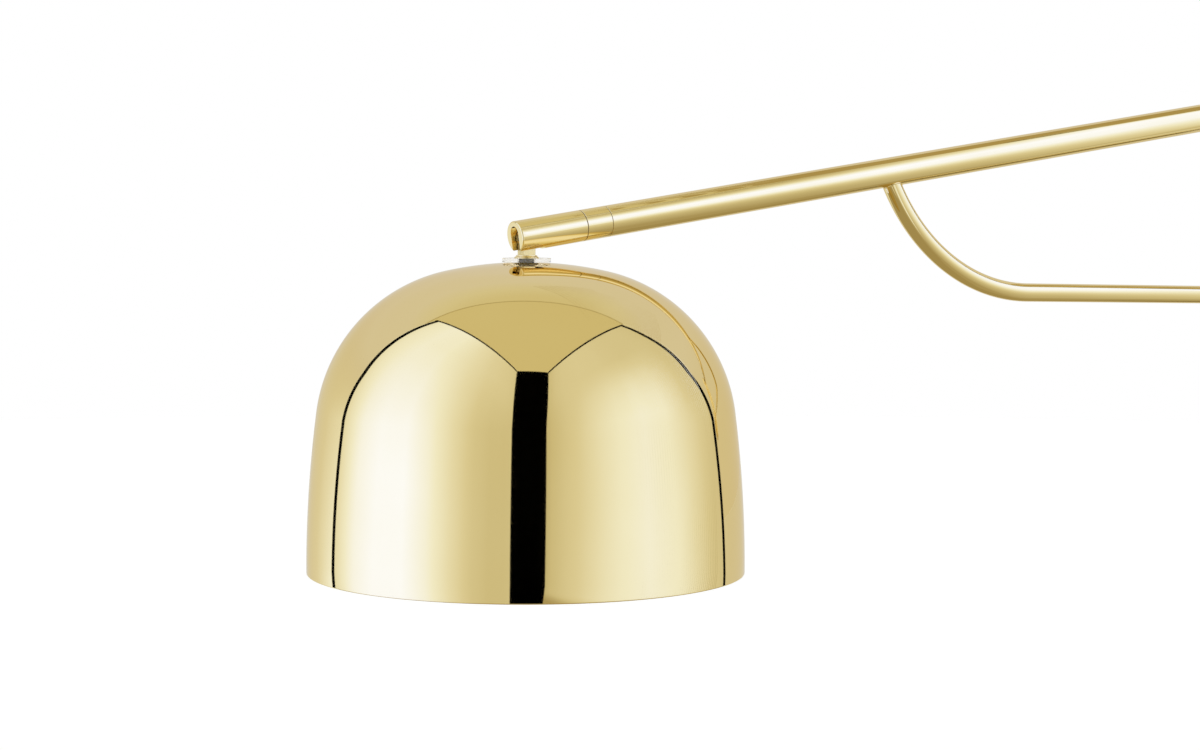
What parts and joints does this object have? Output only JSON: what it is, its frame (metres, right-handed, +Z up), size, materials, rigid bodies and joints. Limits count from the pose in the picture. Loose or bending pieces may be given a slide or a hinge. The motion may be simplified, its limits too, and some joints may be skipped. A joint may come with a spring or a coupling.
{
  "type": "wall lamp",
  "caption": "Wall lamp with a domed metal shade on a long braced arm that swings from a wall bracket; the shade tilts and turns on a forked hinge.",
  "frame": {"origin": "centre of the wall plate's back face, on the wall's surface", "axes": "+Y into the wall, +Z up, the arm points to -Y at rest"},
  "size_m": [0.235, 1.1094, 0.3639],
  "materials": {
    "polished_brass": "mirror polished",
    "satin_brass": "satin",
    "steel": "zinc plated",
    "dark_steel": "blackened",
    "nylon": "moulded",
    "black_plastic": "moulded",
    "clear_plastic": "clear",
    "lead_sheath": "smooth sheath",
    "porcelain": "glazed",
    "cap_aluminium": "drawn",
    "frosted_glass": "frosted"
  },
  "bodies": {
    "wall_side": {"wall_plate": "steel", "wall_housing": "polished_brass", "housing_screws": "steel", "upper_lug": "polished_brass", "lower_lug": "polished_brass", "lug_nuts": "steel", "upper_bush": "nylon", "lower_bush": "nylon", "terminal_block": "nylon", "switch_body": "black_plastic", "switch_nut": "polished_brass"},
    "switch_key": {"switch_button": "polished_brass"},
    "swing_arm": {"post": "polished_brass", "upper_pivot": "polished_brass", "lower_pivot": "polished_brass", "upper_cap": "polished_brass", "lower_cap": "polished_brass", "arm_tube": "polished_brass", "brace": "polished_brass", "arm_lead": "lead_sheath", "swivel_spindle": "polished_brass", "swivel_ring": "polished_brass"},
    "head": {"fork_end": "polished_brass", "hinge_pin": "steel", "hinge_washers": "black_plastic", "swivel_screw": "steel"},
    "shade_group": {"knuckle": "polished_brass", "nipple": "dark_steel", "clear_washer": "clear_plastic", "shade": "polished_brass", "clamp_washer": "steel", "nipple_nut": "steel", "holder_entry": "satin_brass", "holder_cup": "satin_brass", "holder_skirt": "satin_brass", "holder_insert": "porcelain", "bulb_cap": "cap_aluminium", "bulb_glass": "frosted_glass"}
  },
  "joints": [
    {"name": "arm_swing", "type": "hinge", "parent": "wall_side", "child": "swing_arm", "pos_m": [0, -0.045, 0], "axis": [0, 0, 1], "range_deg": [-80, 80]},
    {"name": "head_roll", "type": "hinge", "parent": "swing_arm", "child": "head", "pos_m": [0, -0.9921, -0.04132], "axis": [0, -0.9897, -0.1435], "range_deg": [-90, 90]},
    {"name": "shade_tilt", "type": "hinge", "parent": "head", "child": "shade_group", "pos_m": [0, -0.99188, -0.04281], "axis": [1, 0, 0], "range_deg": [-90, 18]},
    {"name": "switch_press", "type": "slide", "parent": "wall_side", "child": "switch_key", "axis": [-1, 0, 0], "range_m": [0, 0.0025], "stiffness_N_per_m": 600, "springref_m": -0.002}
  ]
}
